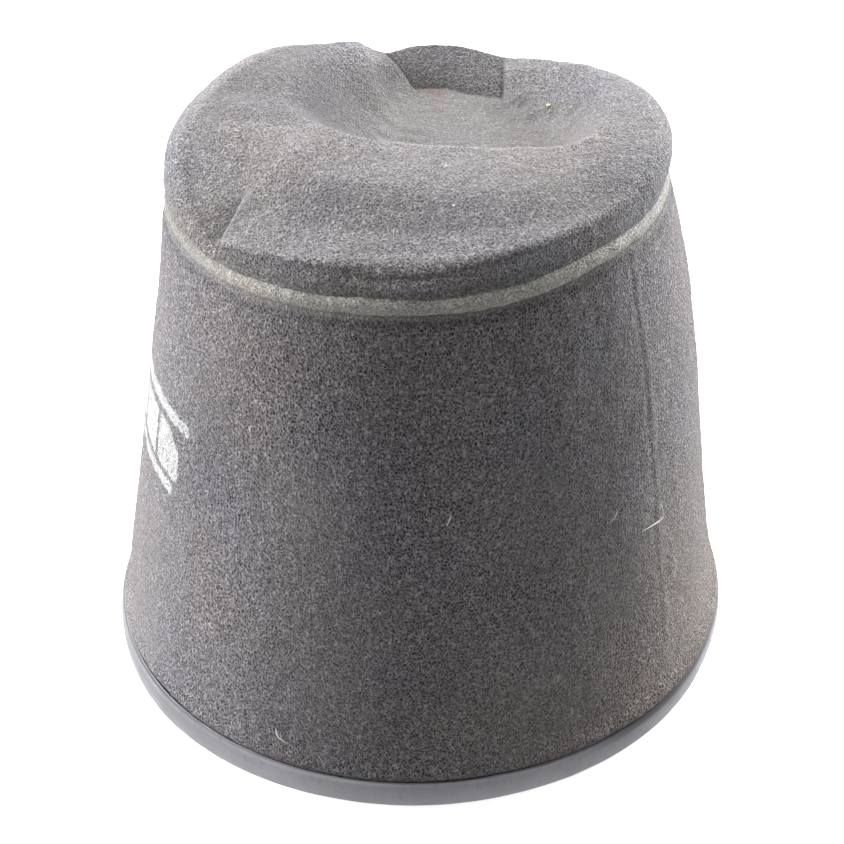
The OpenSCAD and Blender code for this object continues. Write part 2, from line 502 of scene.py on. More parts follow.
def flash_material():
    return mottled_material(
        "rubber_flash", (0.20, 0.20, 0.215), (0.36, 0.36, 0.38), (2.0, 3.0), 0.65, 0.5, 0.1)


def wire_material():
    n = Nodes("galvanised_wire")
    spangle = n.span(n.noise(1.4, 4.0, 0.7), 0.35, 0.7)
    colour = n.mix(spangle, (0.52, 0.53, 0.54), (0.70, 0.71, 0.71))
    dull = n.span(n.noise(5, 4.0, 0.65), 0.5, 0.72)
    colour = n.cover(colour, dull, 0.5, (0.34, 0.33, 0.31))
    rough = n.span(n.noise(2.2, 4.0, 0.6), 0.3, 0.7, 0.28, 0.55)
    n.set(Base_Color=colour, Metallic=1.0, Roughness=rough)
    n.set(Normal=n.bump(n.noise(0.5, 3.0, 0.7), 0.06, 0.5))
    return n.material


def weld_material():
    n = Nodes("weld_scale")
    colour = n.mix(n.noise(0.7, 4.0, 0.7), (0.16, 0.15, 0.15), (0.46, 0.45, 0.43))
    n.set(Base_Color=colour, Metallic=0.9, Roughness=0.55)
    n.set(Normal=n.bump(n.noise(0.4, 3.0, 0.7), 0.1, 0.7))
    return n.material


def lint_material():
    return mottled_material(
        "lint_pale", (0.66, 0.64, 0.61), (0.93, 0.92, 0.90), (1.5, 2.0), 0.8, 0.2, 0.03)


def crumb_material():
    return mottled_material(
        "crumb_tan", (0.50, 0.42, 0.27), (0.86, 0.80, 0.66), (0.8, 2.0), 0.8, 0.3, 0.08)


def floor_material():
    n = Nodes("studio_floor")
    colour = n.mix(n.noise(300, 2.0), (0.93, 0.93, 0.93), (0.95, 0.95, 0.95))
    n.set(Base_Color=colour, Roughness=0.85)
    n.set(Emission_Color=(1.0, 1.0, 1.0, 1.0), Emission_Strength=0.7)
    return n.material


# ---- The top joint, which leans and dips ----


def joint_height(azimuth):
    """The joint's height, by azimuth about its own leaning centre."""
    return around(JOINT_HEIGHT, azimuth, 5)


def joint_radius(azimuth):
    return TOP_R - around(JOINT_INSET, azimuth, 6)


# ---- Side: the outer foam sleeve ----

SEAM_AZIMUTH = 51.5
# How far the foam's foot bulges over the lip of the base, by azimuth
FOOT_HANG = {
    -180: 0.3, -125: 0.5, -104: 0.8, -90: 0.4, -79: 0.7, -70: 0.8, -60: 0.4, -48: 0, 12: 0,
    20: 0.5, 32: 1.1, 43: 1.4, 52: 1.5, 63: 1.4, 73: 1, 90: 0.4, 130: 0.3,
}
# How much painted shade darkens the foam where it meets the base, by azimuth
FOOT_SHADE = {-150: 0.5, -85: 0.4, -62: 0.55, -40: 0.75, 30: 0.9, 60: 1, 95: 0.7}
SIDE_COLS, SIDE_ROWS = 600, 128


def side_radius(azimuth, z, x, y):
    """Radius of the outer foam's face about its leaning axis."""
    r = cone_r(z)
    r = r + 1.6 * bump_at(azimuth, 84, 38) * bump_at(z, 86, 34)
    r = r - 0.4 * bump_at(azimuth, -84, 38) * ease((z - 20) / 30)
    foot = fall(z - LIP_H, 18)
    r = r - foot * (0.9 * bump_at(azimuth, -90, 34) + 0.5 * bump_at(azimuth, 88, 34))
    r = r - around(JOINT_INSET, azimuth, 6) * ease((z - 98) / 34)
    r = r + 0.30 * noise(x, y, z, 38, 11) + 0.14 * noise(x, y, z, 13, 12)
    r = r + 0.10 * noise(x, y, z, 3.1, 13) + 0.12 * noise(x, y, z, 1.25, 14)
    return r


def outer_sleeve(material):
    turn, sin, cos = (line[None, :] for line in circle(SIDE_COLS))
    top_z = joint_height(turn) - 0.2
    t = np.linspace(0, 1, SIDE_ROWS)[:, None]
    # Rows crowd towards the foot and the joint, where the foam is pinched
    t = lerp(t, 0.5 - 0.5 * np.cos(np.pi * t), 0.35)
    low = FOOT_Z + 0.2
    z = lerp(low, top_z - BEAD_HALF - 0.1, t)
    nominal = cone_r(z)
    r = side_radius(turn + 0 * z, z, nominal * sin, -nominal * cos)
    r = np.where(z < LIP_H + 0.1, np.minimum(r, FOOT_R - 0.25), r)
    hang = around(FOOT_HANG, turn, 5)
    r = r + (z > LIP_H) * (0.6 + hang) * bump_at(z, LIP_H + 1.6, 2.0)
    r = r - (z > LIP_H) * (1.2 - 0.55 * hang) * np.exp(-(z - LIP_H) / 0.6)
    r = r - 0.5 * np.exp(-(top_z - BEAD_HALF - z) / 1.6)
    off = (turn - SEAM_AZIMUTH) * np.pi / 180 * nominal
    groove = 0.07 + 0.10 * ease((z - 58) / 40)
    r = r - groove * bump_at(off, 0, 0.5)
    r = r + 0.12 * bump_at(off, 1.8, 1.1) + 0.05 * bump_at(off, -1.6, 1.0)
    lean = LEAN_X * np.clip((z - LIP_H) / (JOINT_Z - LIP_H), 0, 1)
    outer = turned(r, z, sin, cos, lean)
    shoulder = turned(joint_radius(turn) - 1.9, top_z - 0.25, sin, cos, LEAN_X * 0.7)
    top_in = turned(cone_r(top_z, OUTER_T) + 0.1, top_z - 0.25, sin, cos)
    inner_z = lerp(top_z - 0.6, low, np.linspace(0, 1, 14)[:, None])
    inner = turned(cone_r(inner_z, OUTER_T) + 0.1, inner_z, sin, cos)
    grid = np.concatenate([outer, shoulder, top_in, inner], axis=0)
    below = top_z - BEAD_HALF - z
    groove_shade = 0.03 + 0.19 * ease((z - 66) / 50)
    # Painted shade: at the foot, under the foot's overhang at the right, beside the seam, halfway up at
    # the left and in the groove, and a painted shadow under the bead
    shade = around(FOOT_SHADE, turn, 6) * fall(z - LIP_H, 1.0)
    shade = shade + 0.16 * hang * (turn > 0) * bump_at(z, LIP_H + 1.5, 3.5)
    shade = shade + 0.36 * bump_at(turn, 42, 6) * ease((z - 20) / 25)
    shade = shade + 0.30 * bump_at(turn, -47, 9) * bump_at(z, 84, 26)
    shade = shade + 0.40 * bump_at(below, 1.6, 1.2)
    shade = shade + bump_at(off, 0, 0.6) * groove_shade * (0.8 + 0.2 * noise(0, 0, z, 5, 5))
    pale_wear_and_highlight, dusty, painted_shade = (np.zeros((len(grid), SIDE_COLS)) for _ in range(3))
    painted_shade[:SIDE_ROWS] = np.clip(shade, 0, 1)
    dusty[:SIDE_ROWS] = np.clip(0.2 + 0.4 * noise(outer[..., 0], outer[..., 1], z, 26, 31), 0, 1)
    pale_wear_and_highlight[:SIDE_ROWS] = 0.25 * bump_at(off, 1.6, 0.8) + 0.9 * fall(below, 0.45)
    values = {"pale_wear_and_highlight": pale_wear_and_highlight, "dusty": dusty, "painted_shade": painted_shade}
    return ring_solid("outer_sleeve_foam", grid, material, values)


# ---- Top: the outer foam disc ----

# Height of the rim's crest, from the front round both sides to the back
CREST = {
    -179: 136, -175: 134.6, -171.5: 134, -168: 136, -164: 139.4, -158: 139.8, -150: 141.4,
    -143: 143.5, -132: 145.3, -122: 145.6, -110: 145.4, -96: 146, -85: 146.4, -75: 146.8, -60: 147,
    -45: 146.6, -20: 146.4, 0: 146.4, 20: 146.4, 40: 146.2, 55: 145.8, 70: 145.4, 80: 145, 90: 144.6,
    105: 143, 118: 141.4, 128: 139.4, 140: 137.2, 150: 135.4, 155: 134.2, 162: 135.3, 171: 136.3,
}
# Where the front shoulder steps down, and the heights of its hollow and of the front edge
SHOULDER_R = {-75: 46, -62: 43.5, -44: 42, -15: 40, 9: 42, 34: 47, 53: 51, 69: 54, 90: 56, 180: 56}
HOLLOW = {
    -75: 142, -60: 141.6, -45: 141.6, -33: 142.4, -15: 143.2, 10: 143.6, 34: 144, 53: 144.2,
    70: 144.4, 90: 144.5, 180: 144,
}
EDGE = {
    -80: 145, -70: 143.6, -60: 139.2, -52: 136.6, -47: 138.2, -42: 138.6, -33: 139.4, -22: 140.8,
    -10: 140.8, 0: 141.2, 12: 142.2, 24: 142.8, 39: 143, 55: 143, 63: 143, 75: 143.5, 90: 144.5,
    110: 144.5, 180: 144,
}
SHOULDER_SHARE = {-100: 0, -80: 0.6, -66: 1, 50: 1, 64: 0.8, 80: 0.25, 95: 0, 180: 0}
# How far in from the edge its rounding starts, and how far down it reaches
ROUND_IN = {
    -180: 4.6, -168: 5, -150: 7, -130: 9.5, -95: 8, -80: 6.5, -68: 4.5, -58: 2.4, -53: 1.4,
    -46: 1.3, -33: 1.3, -22: 2.2, -10: 5.4, 0: 5, 12: 3, 24: 2, 39: 2, 55: 2.4, 75: 4, 95: 6.5,
    120: 7, 145: 5, 158: 4.6,
}
ROUND_DOWN = {
    -180: 5, -168: 5.5, -150: 6, -130: 8, -95: 8, -80: 7, -68: 4.2, -58: 2.2, -53: 1.4,
    -46: 1.3, -33: 1.3, -22: 1.7, -10: 3.4, 0: 3.1, 12: 1.9, 24: 1.6, 39: 1.8, 55: 2.6, 75: 4,
    95: 6, 120: 6, 145: 4.5, 158: 4.6,
}
# 1 where the rounding is full, 0 where it is a straight slope
ROUND_FULL = {-180: 0.15, -165: 0.3, -145: 0.9, 0: 1, 130: 1, 150: 0.4, 160: 0.15}
SHOULDER_END_R = 57.5
MIDDLE_Z = 146.6  # height of the top's middle, before the pit sinks it
# The sunken pit about its own centre: angle from +X, radius of its lip, radius of its floor
PIT_U, PIT_V, PIT_Z = 8.0, 12.5, 129.0
PIT_LIP = {
    0: 37, -33: 39, -48: 36, -63: 30.5, -90: 27, -120: 28, -149: 34, 180: 43, 150: 45, 125: 42,
    110: 41, 90: 41, 75: 38, 66: 34, 58: 35.5, 45: 38, 25: 38,
}
PIT_FLOOR = {
    0: 20, -33: 22, -63: 18, -90: 15.5, -120: 15.5, -149: 15, 180: 14, 150: 15, 130: 18, 118: 25,
    108: 29, 90: 29, 75: 24, 62: 20, 45: 19, 25: 19,
}
# 1 where the pit's lip is a crisp edge, 0 where it is a soft one
PIT_CRISP = {-170: 0, -149: 0.3, -120: 0.8, -100: 1, -75: 1, -50: 0.6, -25: 0.1, 0: 0, 60: 0, 170: 0}
# How strong the folds at the foot of the pit's left wall are
RIPPLE = {-180: 1, -150: 1, -115: 0.5, -80: 0.1, 0: 0, 60: 0, 110: 0, 140: 0.8}
# Dimples in the right flank: place, width and depth
DIMPLES = [(26, 30, 2.0, 0.8), (28.5, 23.5, 2.2, 0.7), (33, 21, 2.2, 0.8), (37.5, 16, 2.0, 0.5)]
# The sharp edge where the left lobe folds over the back wall, and the crease at the wall's right
BACK_EDGE = ((-8.8, 53.6), (-2.1, 43.9))
BACK_CREASE = ((22.9, 48.5), (22.2, 36.5))
# Where the wall's foot meets the pit's floor
WALL_FOOT_U, WALL_FOOT_V = (-2.2, 7.3, 12.3, 22.4), (44.2, 43.3, 40.2, 36.5)
WALL_TOP_R = 54.4
# The fold at the front left: its ridge runs from inside out, and the foam is lower to its left
FOLD = ((-40.1, -25), (-46.9, -39))


def side_of(line, u, v):
    """Distance from a line through two points, positive to the left of the way along it."""
    (u0, v0), (u1, v1) = line
    length = math.hypot(u1 - u0, v1 - v0)
    return ((u1 - u0) * (v - v0) - (v1 - v0) * (u - u0)) / length


def facet_height(u, v):
    """The foam left of the fold, which slopes down to the front and tucks under the fold."""
    along = -0.574 * u - 0.819 * v
    return 133.7 + 0.52 * (55.4 - along)


def past_wall_foot(u, v):
    return v - np.interp(u, WALL_FOOT_U, WALL_FOOT_V)


def back_wall(u, v, floor_z, crest):
    """The steep wall at the back, which faces the front and ends at the rim's crest."""
    past_foot = past_wall_foot(u, v)
    top = np.sqrt(np.maximum(WALL_TOP_R**2 - u**2, 1))
    rise = np.clip(past_foot / np.maximum(top - (v - past_foot), 1), 0, 1)
    return lerp(floor_z, crest, rise**0.8)


def pit_depth(u, v):
    """0 outside the pit and 1 on its floor, and the angle, radius and share of the slope."""
    angle = np.degrees(np.arctan2(v - PIT_V, u - PIT_U))
    rho = np.hypot(u - PIT_U, v - PIT_V)
    lip = around(PIT_LIP, angle, 2.2)
    foot = around(PIT_FLOOR, angle, 1.0)
    t = np.clip((lip - rho) / np.maximum(lip - foot, 1), 0, 1)
    crisp = around(PIT_CRISP, angle, 4)
    sharp = 1 - (1 - t) ** 1.7
    return lerp(ease(t), sharp, crisp), angle, rho, t


def top_height(u, v):
    """Height of the caved-in top at u, v from the top joint's centre.

    Also returns the share of the pit's depth there, and 1 on the back wall.
    """
    radius = np.hypot(u, v)
    azimuth = azimuth_of(u, v)
    crest = around(CREST, azimuth, 2.0)
    crest = lerp(MIDDLE_Z, crest, ease(radius / 26))
    shoulder = around(SHOULDER_R, azimuth, 4)
    past = (radius - shoulder) / np.maximum(SHOULDER_END_R - shoulder, 4)
    edge = around(EDGE, azimuth, 2.0)
    flap = lerp(around(HOLLOW, azimuth, 4), edge, np.clip(past, 0, 1.1))
    share = around(SHOULDER_SHARE, azimuth, 4) * ease((radius - shoulder + 9) / 14)
    z = lerp(crest, flap, share)
    tucked = smooth_min(crest, facet_height(u, v), 4.0)
    blur = 1.1 + 12 * ease((v + 27) / 8)
    left_of_fold = ease(0.5 - side_of(FOLD, u, v) / blur) * (u < 0) * ease((5 - v) / 10)
    z = lerp(z, tucked, left_of_fold)
    depth, angle, rho, t = pit_depth(u, v)
    floor_z = PIT_Z + 0.02 * (v - PIT_V) + 0.02 * (u - PIT_U)
    floor_z = floor_z + 0.0022 * (u - PIT_U) ** 2
    wall = back_wall(u, v, floor_z, z)
    z = lerp(z, floor_z, depth)
    in_wall = ease(side_of(BACK_EDGE, u, v)) * ease(-side_of(BACK_CREASE, u, v))
    past_foot = past_wall_foot(u, v)
    z = lerp(z, wall, in_wall * ease((past_foot + 5) / 4))
    in_wall = in_wall * ease((past_foot + 0.6) / 1.4)
    # Folds that the pressed foam makes round the foot of the left wall
    ripple = ease((t - 0.55) / 0.3) * ease((rho - 6) / 6) * around(RIPPLE, angle, 6)
    across = 0.5 * rho - 0.8 * v + 2.5 * noise(u, v, 0, 9, 41)
    z = z + 0.16 * ripple * np.sin(2 * np.pi * across / 3.3)
    for du, dv, width, deep in DIMPLES:
        z = z - deep * np.exp(-((u - du) ** 2 + (v - dv) ** 2) / width**2)
    z = z + 0.35 * noise(u, v, 0, 21, 42) * (1 - 0.5 * depth) + 0.16 * noise(u, v, 0, 8, 43)
    return z, depth, in_wall


EDGE_R = 59.0
# How far the top's edge stands in or out: at the front it is drawn in, so the band leans
EDGE_BULGE = {
    -180: 0, -130: 0.2, -100: 0.2, -86: 0.9, -74: 1.2, -62: 1.2, -56: 1.4, -50: 0.4, -44: -1,
    -33: -1.6, -22: -2, -10: -2, 0: -1.8, 12: -1.7, 24: -1.7, 39: -1.9, 55: -1.6, 70: -0.6,
    85: 0.2, 100: 1.1, 115: 1.6, 150: 0,
}
TOP_COLS, TOP_ROWS, ROUND_ROWS, BAND_ROWS = 600, 104, 12, 12


def top_disc(material):
    turn, sin, cos = circle(TOP_COLS)
    edge_r = EDGE_R + around(EDGE_BULGE, turn, 8)
    round_in = around(ROUND_IN, turn, 2.5)
    round_down = around(ROUND_DOWN, turn, 2.5)
    round_full = around(ROUND_FULL, turn, 4)
    s = np.linspace(0.006, 1, TOP_ROWS) ** 0.86
    radius = s[:, None] * (edge_r - round_in)
    u, v = radius * sin, -radius * cos
    z, depth, in_wall = top_height(u, v)
    z = z + 0.12 * noise(u, v, z, 3.0, 44) + 0.13 * noise(u, v, z, 1.25, 45)
    top = np.stack([u, v, z], axis=2)
    # From the end of the top, round the edge and down to the joint's bead
    low_r = joint_radius(turn) - 0.75
    low_z = joint_height(turn) + BEAD_HALF - 0.3
    start_z = np.maximum(z[-1], low_z + 0.5)
    drop = np.minimum(round_down, (start_z - low_z) * 0.92)
    band = []
    for share in np.arange(1, ROUND_ROWS + 1) / ROUND_ROWS:
        phi = 0.5 * np.pi * (1 - share)
        out = lerp(share, np.cos(phi), round_full)
        down = lerp(share, 1 - np.sin(phi), round_full)
        band.append((edge_r - round_in + round_in * out, start_z - drop * down))
    for share in np.arange(1, BAND_ROWS + 1) / BAND_ROWS:
        bulge = 0.45 * np.sin(np.pi * share)
        band.append((lerp(edge_r, low_r, share) + bulge, lerp(start_z - drop, low_z, share)))
    rough = []
    for r, z_row in band:
        p = (r * sin, -r * cos, z_row)
        extra = 0.12 * noise(*p, 3.0, 46) + 0.12 * noise(*p, 1.25, 47) + 0.2 * noise(*p, 12, 48)
        rough.append(turned(r + extra, z_row, sin, cos))
    inward = [56.3, 55.5, *np.linspace(55, BACKING_R + 1.5, 3), *np.linspace(BACKING_R, 1.0, 26)]
    under = [turned(r, underside(r * sin, -r * cos), sin, cos) for r in inward]
    grid = np.concatenate([top, rough, under], axis=0)
    grid[:, :, 0] += LEAN_X
    pale_wear_and_highlight, dusty, painted_shade, rust = (np.zeros((len(grid), TOP_COLS)) for _ in range(4))
    rust[:TOP_ROWS] = 0.9 * bump_at(u, 4.5, 3.8) * bump_at(v + 0.25 * u, 42.6, 1.2)
    # Ridges are painted pale, most on the pit's front lip, partly as rubbed foam and partly as painted
    # highlight; creases get painted shade
    bend = edge_marks(u, v)
    lip = ease((v + 20) / 3) * ease((2 - v) / 4) * ease((u + 12) / 6)
    pale_wear_and_highlight[:TOP_ROWS] = np.clip(bend, 0, 1) * (0.12 + 0.88 * lip)
    # Painted shade in the hollow left of the fold, darkest next to it
    past_fold = -side_of(FOLD, u, v)
    facet = ease((past_fold + 0.3) / 0.8) * (u < -20) * ease((-20 - v) / 5)
    darkening = facet * (0.16 + 0.34 * fall(past_fold, 4.5))
    # Painted shade on the left lobe and the pit's left wall, and darker on the front flap and the right
    # of the rim
    darkening = darkening + 0.39 * ease((-14 - u) / 12) * ease((v + 8) / 14)
    darkening = darkening + 0.40 * ease(4 * depth * (1 - depth)) * ease((PIT_U - 10 - u) / 8)
    darkening = darkening + 0.14 * ease((-22 - v) / 8) + 0.12 * ease((u - 34) / 8)
    # Painted shade on the back wall, darkest at its foot
    darkening = darkening + in_wall * (0.27 + 0.25 * fall(past_wall_foot(u, v), 3.0))
    painted_shade[:TOP_ROWS] = np.clip(0.8 * np.clip(-bend, 0, 1) + darkening, 0, 1)
    # A painted highlight along the flap's edge beside the fold
    pale_wear_and_highlight[:TOP_ROWS] += 0.30 * bump_at(past_fold, -0.9, 0.9) * (u < -20) * ease((-22 - v) / 5)
    dusty[:TOP_ROWS] = np.clip(0.8 * depth * (1 - in_wall) + 0.15 + 0.35 * noise(u, v, 0, 19, 49), 0, 1)
    pale_wear_and_highlight[TOP_ROWS : TOP_ROWS + 4] = 0.08
    values = {"pale_wear_and_highlight": pale_wear_and_highlight, "dusty": dusty, "painted_shade": painted_shade, "rust": rust}
    first = [LEAN_X, 0, float(top_height(np.zeros(1), np.zeros(1))[0][0])]
    last = [LEAN_X, 0, float(underside(np.zeros(1), np.zeros(1))[0])]
    return capped_solid("outer_disc_foam", grid, first, last, material, values)


def edge_marks(u, v):
    """Positive along ridges, painted pale partly as rubbed foam and partly as highlight, and negative
    in creases, which get painted shade.
    """
    step = 0.9
    z = top_height(u, v)[0]
    ring = sum(
        top_height(u + step * math.cos(q), v + step * math.sin(q))[0]
        for q in np.arange(8) * math.pi / 4
    )
    return np.clip((z - ring / 8) / 0.30, -1, 1)


MOUTH_R = 36.5
DISC_T = 20.0  # both foam discs together


def support(radius):
    """Top of what holds the foam up: the inner sleeve, and nothing inside the cage's mouth."""
    return INNER_TOP_Z + 0.4 - 60 * ease((MOUTH_R - radius) / 14)


def underside(u, v):
    """Underside of the outer disc."""
    radius = np.hypot(u, v)
    z = top_height(u, v)[0]
    inside = z - 0.6 * np.minimum(DISC_T, z - support(radius))
    joint = np.minimum(joint_height(azimuth_of(u, v)) + 0.2, z - 1.6)
    return lerp(inside, joint, ease((radius - BACKING_R + 3) / 3))


def backing_disc(material):
    """The inner foam disc, which sags into the cage's mouth under the pit."""
    _, sin, cos = circle(240)
    out_r = BACKING_R - 0.3
    rows = []
    for r in [*np.linspace(0.8, out_r - 1.0, 44), out_r]:
        rows.append(turned(r, underside(r * sin - LEAN_X, -r * cos) - 0.25, sin, cos))
    rows[-1][:, 2] -= 0.7
    for r in [out_r, *np.linspace(out_r - 1.0, 0.8, 44)]:
        x, y = r * sin, -r * cos
        z = top_height(x - LEAN_X, y)[0]
        room = np.minimum(DISC_T, z - support(r))
        low = np.maximum(z - room, support(r) * (r > MOUTH_R - 0.5))
        rough = 0.12 * noise(x, y, 0, 1.0, 52) * (r < MOUTH_R - 0.5)
        low = low + 0.10 * noise(x, y, 0, 2.2, 51) + rough
        rows.append(turned(r, low, sin, cos))
    grid = np.stack(rows)
    upper_row, lower_row = grid[44, :, 2], grid[45, :, 2]
    lower_row[:] = np.minimum(lower_row, upper_row - 0.8)
    first = [0, 0, float(underside(np.array([-LEAN_X]), np.zeros(1))[0]) - 0.25]
    last = [0, 0, float(grid[-1, :, 2].mean())]
    return capped_solid("inner_disc_foam", grid, first, last, material)


# How much painted shade darkens the bead, by azimuth
BEAD_PAINTED_SHADE = {
    -180: 0.72, -80: 0.72, -60: 0.52, -46: 0.1, -38: 0, 36: 0, 46: 0.12, 60: 0.3, 68: 0.34, 80: 0.55,
}


def top_bead(material):
    """The line of glue-soaked foam round the top joint."""
    turn, sin, cos = circle(600)
    joint_r = joint_radius(turn)
    centre_z = joint_height(turn)
    x, y = TOP_R * sin, -TOP_R * cos
    half = BEAD_HALF - 0.15 + 0.16 * noise(x, y, 0, 7, 61)
    drool = 0.30 * np.clip(noise(x, y, 0, 4.2, 62), 0, 1) + 0.15 * noise(x, y, 0, 1.4, 63)
    rows, painted_shade = [], []
    for phi in np.radians(np.arange(0, 360, 22.5)):
        out, up = math.cos(phi), math.sin(phi)
        # The glue sags: its upper face slopes, and it stands out most near its lower edge
        r = joint_r - 0.75 + (1.0 if out > 0 else 2.4) * np.sign(out) * abs(out) ** 0.8
        r = r - (0.75 * max(up, 0) - 0.25 * min(up, 0) * max(out, 0)) * (out > -0.5)
        reach = half * (np.sign(up) * abs(up) ** 0.9)
        z = centre_z + reach - (drool if up < -0.2 else 0)
        lump = (0.12 * noise(x, y, z, 2.4, 64) + 0.10 * noise(x, y, z, 1.1, 65)) * (out > -0.2)
        rows.append(turned(r + lump, z, sin, cos, LEAN_X))
        # Painted shade: most on the bead's underside, a little on its top, and more by azimuth
        row_painted_shade = 0.6 if up < -0.85 else (0.2 if up > 0.95 else 0.0)
        painted_shade.append(np.maximum(row_painted_shade, around(BEAD_PAINTED_SHADE, turn)))
    return ring_solid("top_joint_bead", np.stack(rows), material, {"painted_shade": np.stack(painted_shade)})


INNER_SEAM_AZIMUTH = -128.5


def inner_sleeve(material):
    turn, sin, cos = circle(300)
    low, high = inner_low[2] + 0.3, inner_high[2] - 0.1
    z_in = np.linspace(high, low, 90)[:, None] + 0 * sin
    r_in = cone_r(np.maximum(z_in, LIP_H), OUTER_T + INNER_T) + 0.05
    x, y = r_in * sin, -r_in * cos
    puff = 0.10 * np.clip(noise(x, y, z_in, 9, 71), 0, 1) + 0.08 * noise(x, y, z_in, 2.0, 72)
    off = (turn - INNER_SEAM_AZIMUTH) * np.pi / 180 * r_in
    puff = puff - 0.5 * bump_at(off, 0, 0.7)
    r_in = r_in + 0.15 - puff * (z_in > LIP_H + 1)
    z_out = np.linspace(low, high, 20)[:, None]
    r_out = cone_r(z_out, OUTER_T) - 0.12
    grid = np.concatenate([turned(r_in, z_in, sin, cos), turned(r_out, z_out, sin, cos)])
    return ring_solid("inner_sleeve_foam", grid, material)


# ---- Base: the moulded rubber ring ----

# How far the outer face of the soft ring is pressed out, or drawn in, by azimuth
PUSH = {
    -180: 0.2, -125: -0.2, -104: -0.8, -94: -0.4, -86: 0, -78: 0.1, -70: 0.3, -62: 0.5, -52: 0.8,
    -40: 0.5, -15: 0.3, 15: 0.3, 40: 0.6, 57: 0.4, 68: -0.1, 82: 0, 100: 0.1, 140: 0.2,
}


# The lip's section: how far out from the foam's foot, height, and share of the push
LIP = [
    (-0.3, 3, 0), (0, 3.2, 0), (0, 4.6, 0), (0, 6.2, 0), (0.07, 6.55, 0.05), (0.25, 6.76, 0.1),
    (0.55, 6.82, 0.25), (0.85, 6.7, 0.4), (1.1, 6.4, 0.5), (1.25, 5.9, 0.6), (1.42, 5.2, 0.75),
    (1.55, 4.3, 0.9), (1.6, 3.4, 1), (1.58, 2.5, 1), (1.5, 1.7, 1), (1.36, 1, 1),
    (1.12, 0.45, 0.95), (0.78, 0.12, 0.85), (0.35, 0, 0.7), (-1.5, 0, 0.2),
]


def rubber_ring(material):
    """The base ring, pliable enough to be a little out of round, with soft moulded edges."""
    turn, sin, cos = circle(720)
    bore_r, wall_r, collar_z = BASE_R - 30.0, BASE_R - 26.8, 10.4
    # The section all round: radius, height and share of the push
    section = [(bore_r, 5, 0), (bore_r, 8, 0)]
    for k in range(9):
        q = math.pi * (1 - k / 8)
        middle, half = (bore_r + wall_r) / 2, (wall_r - bore_r) / 2
        section.append((middle + half * math.cos(q), collar_z + half * math.sin(q), 0))
    section += [(wall_r, 6, 0), (wall_r, 3.6, 0), (wall_r + 0.5, 3.05, 0), (60, 3, 0), (70, 3, 0)]
    section += [(FOOT_R + out, z, share) for out, z, share in LIP]
    # The two grooves in the seat
    for edge_r in (72.2, 67.2):
        section += [(edge_r, 0, 0), (edge_r, 0.8, 0), (edge_r - 1.2, 0.8, 0), (edge_r - 1.2, 0, 0)]
    section += [(60, 0, 0), (60, 1, 0), (bore_r + 0.8, 1, 0), (bore_r, 1.8, 0)]
    push = around(PUSH, turn, 4)
    rows = []
    for r, z, share in section:
        x, y = r * sin, -r * cos
        wave = 0.10 * noise(x, y, z, 17, 83) + 0.05 * noise(x, y, z, 4, 84)
        wave = wave * (r > FOOT_R - 0.1)
        r_row = r + share * push + wave * (0.3 + 0.7 * share)
        swell = 0.12 * noise(x, y, 0, 21, 85) + 0.04 * noise(x, y, 0, 5, 86)
        rows.append(turned(r_row, z + swell * (z > 6.3) * (r > FOOT_R), sin, cos))
    return ring_solid("base_ring_rubber", np.stack(rows), material)


# ---- Small pieces ----


def moulding_flash(material):
    """A thin uneven fin on the top edge of the base's lip."""
    _, sin, cos = circle(720)
    x, y = BASE_R * sin, -BASE_R * cos
    high = 0.08 + 0.22 * np.clip(noise(x, y, 0, 6, 81), 0, 1) + 0.05 * noise(x, y, 0, 1.3, 82)
    mid_r = BASE_R - 0.95
    section = [(-0.22, -0.25), (0.26, -0.25), (0.22, 0.3), (0.13, 1.0), (-0.08, 1.0), (-0.18, 0.3)]
    rows = [
        turned(mid_r + dr, LIP_H + up * (high if up > 0 else 1), sin, cos) for dr, up in section
    ]
    return ring_solid("moulding_flash", np.stack(rows), material)


def tube(path, radius):
    """Points and faces of a closed eight-sided tube along a path, thinner at its ends."""
    sides = 8
    path = np.asarray(path, float)
    tangent = np.gradient(path, axis=0)
    tangent /= np.linalg.norm(tangent, axis=1)[:, None]
    side = np.cross(tangent, [0.31, 0.22, 0.92])
    side /= np.linalg.norm(side, axis=1)[:, None]
    other = np.cross(tangent, side)
    count = len(path)
    t = np.linspace(-1, 1, count)
    width = radius * (1 - 0.75 * np.abs(t) ** 4)
    points = []
    for q in 2 * np.pi * np.arange(sides) / sides:
        points.append(path + width[:, None] * (side * math.cos(q) + other * math.sin(q)))
    points = np.stack(points, axis=1).reshape(-1, 3)
    faces = wrapped_grid(count, sides, False)
    faces.append(tuple(reversed(range(sides))))
    faces.append(tuple(range((count - 1) * sides, count * sides)))
    return points, faces


def merged(name, parts, material):
    points, faces = [], []
    for p, f in parts:
        faces += [tuple(i + len(points) for i in face) for face in f]
        points.extend(p)
    return mesh_object(name, points, faces, material)


def on_side(azimuth, z, lift):
    """The point this far off the outer foam's face."""
    a = math.radians(azimuth)
    place = (azimuth, z, cone_r(z) * math.sin(a), -cone_r(z) * math.cos(a))
    r = float(side_radius(*(np.array([value]) for value in place))[0]) + lift
    return [r * math.sin(a) + LEAN_X * (z - LIP_H) / (JOINT_Z - LIP_H), -r * math.cos(a), z]


def bent_line(knots, count):
    """count points on a smooth line through the knots."""
    knots = np.asarray(knots, float)
    t = np.linspace(0, len(knots) - 1, count)
    i = np.clip(t.astype(int), 0, len(knots) - 2)
    f = (t - i)[:, None]
    padded = np.vstack([2 * knots[0] - knots[1], knots, 2 * knots[-1] - knots[-2]])
    a, b, c, d = (padded[i + k] for k in range(4))
    square, cube = 2 * a - 5 * b + 4 * c - d, 3 * b - a - 3 * c + d
    return 0.5 * (2 * b + (c - a) * f + square * f**2 + cube * f**3)


